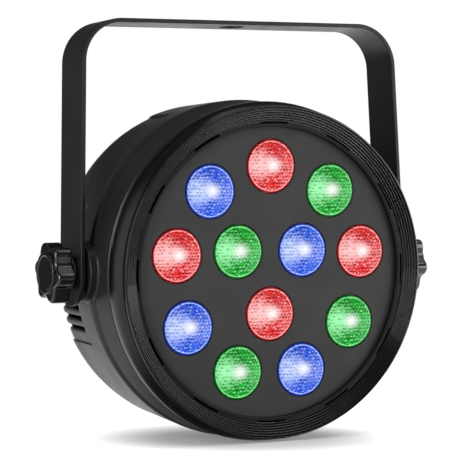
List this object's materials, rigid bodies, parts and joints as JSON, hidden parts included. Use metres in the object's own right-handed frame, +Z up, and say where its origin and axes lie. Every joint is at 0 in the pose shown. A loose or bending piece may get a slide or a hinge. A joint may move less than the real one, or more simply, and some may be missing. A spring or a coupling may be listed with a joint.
{
  "type": "led par light",
  "caption": "Round LED par light with coloured lenses behind a ribbed bezel, hung in a U-shaped bracket and clamped by star knobs at its tilt axis.",
  "frame": {"origin": "centre of the hanging hole, in the top face of the bracket", "axes": "+Z up along the hanging hole, +X to the right seen from the front, the lamp faces -Y and leans 3.4 degrees down"},
  "size_m": [0.219, 0.1136, 0.2167],
  "materials": {
    "strap": "satin black powder coat",
    "bezel": "gloss black",
    "panel": "matte dark grey",
    "shell": "satin dark grey",
    "knob": "semi-gloss black",
    "steel": "bright",
    "brass": "turned",
    "rubber": "matte",
    "aluminium": "satin",
    "board": "white board",
    "circuit": "green board",
    "diode": "clear over yellow",
    "socket": "black",
    "window": "dark red window",
    "button": "satin",
    "lens_red": "clear lens over a red diode",
    "lens_green": "clear lens over a green diode",
    "lens_blue": "clear lens over a blue diode"
  },
  "bodies": {
    "bracket": {"bracket": "strap"},
    "head": {"bezel_ring": "bezel", "front_panel": "panel", "front_shell": "shell", "rear_shell": "shell", "lens_1": "lens_red", "lens_2": "lens_green", "lens_3": "lens_red", "lens_4": "lens_green", "lens_5": "lens_blue", "lens_6": "lens_green", "lens_7": "lens_blue", "lens_8": "lens_red", "lens_9": "lens_blue", "lens_10": "lens_blue", "lens_11": "lens_green", "lens_12": "lens_red", "diode_1": "diode", "diode_2": "diode", "diode_3": "diode", "diode_4": "diode", "diode_5": "diode", "diode_6": "diode", "diode_7": "diode", "diode_8": "diode", "diode_9": "diode", "diode_10": "diode", "diode_11": "diode", "diode_12": "diode", "light_board": "board", "heat_sink": "aluminium", "power_board": "circuit", "control_plate": "strap", "control_board": "circuit", "display_window": "window", "data_in_socket": "socket", "data_in_contacts": "steel", "data_out_socket": "socket", "data_out_core": "socket", "power_socket": "socket", "power_blades": "steel", "safety_eye": "steel", "left_insert": "brass", "left_pad": "rubber", "right_insert": "brass", "right_pad": "rubber"},
    "left_washer": {"left_washer": "steel"},
    "left_knob": {"left_stud": "steel", "left_knob": "knob"},
    "right_washer": {"right_washer": "steel"},
    "right_knob": {"right_stud": "steel", "right_knob": "knob"},
    "menu_button_1": {"menu_button_1": "button"},
    "menu_button_2": {"menu_button_2": "button"},
    "menu_button_3": {"menu_button_3": "button"},
    "menu_button_4": {"menu_button_4": "button"},
    "data_out_latch": {"data_out_latch": "steel"}
  },
  "joints": [
    {"name": "head_tilt", "type": "hinge", "parent": "bracket", "child": "head", "pos_m": [0, 0, -0.1281], "axis": [1, 0, 0], "continuous": true},
    {"name": "left_washer_slide", "type": "slide", "parent": "head", "child": "left_washer", "axis": [-1, 0, 0], "range_m": [0, 0.003]},
    {"name": "left_knob_turn", "type": "hinge", "parent": "left_washer", "child": "left_knob", "pos_m": [-0.1, 0, -0.1281], "axis": [-1, 0, 0], "range_deg": [0, 1080]},
    {"name": "right_washer_slide", "type": "slide", "parent": "head", "child": "right_washer", "axis": [1, 0, 0], "range_m": [0, 0.003]},
    {"name": "right_knob_turn", "type": "hinge", "parent": "right_washer", "child": "right_knob", "pos_m": [0.1, 0, -0.1281], "axis": [1, 0, 0], "range_deg": [0, 1080]},
    {"name": "menu_button_1_press", "type": "slide", "parent": "head", "child": "menu_button_1", "axis": [0, -0.9982, -0.0593], "range_m": [0, 0.0005], "stiffness_N_per_m": 400, "springref_m": -0.0004},
    {"name": "menu_button_2_press", "type": "slide", "parent": "head", "child": "menu_button_2", "axis": [0, -0.9982, -0.0593], "range_m": [0, 0.0005], "stiffness_N_per_m": 400, "springref_m": -0.0004},
    {"name": "menu_button_3_press", "type": "slide", "parent": "head", "child": "menu_button_3", "axis": [0, -0.9982, -0.0593], "range_m": [0, 0.0005], "stiffness_N_per_m": 400, "springref_m": -0.0004},
    {"name": "menu_button_4_press", "type": "slide", "parent": "head", "child": "menu_button_4", "axis": [0, -0.9982, -0.0593], "range_m": [0, 0.0005], "stiffness_N_per_m": 400, "springref_m": -0.0004},
    {"name": "data_out_latch_press", "type": "slide", "parent": "head", "child": "data_out_latch", "axis": [0, -0.9982, -0.0593], "range_m": [0, 0.001], "stiffness_N_per_m": 400, "springref_m": -0.0004}
  ],
  "couplings": [
    {"joint": "left_knob_turn", "follows": "left_washer_slide", "rad_per_m": 6283.2},
    {"joint": "right_knob_turn", "follows": "right_washer_slide", "rad_per_m": 6283.2}
  ]
}
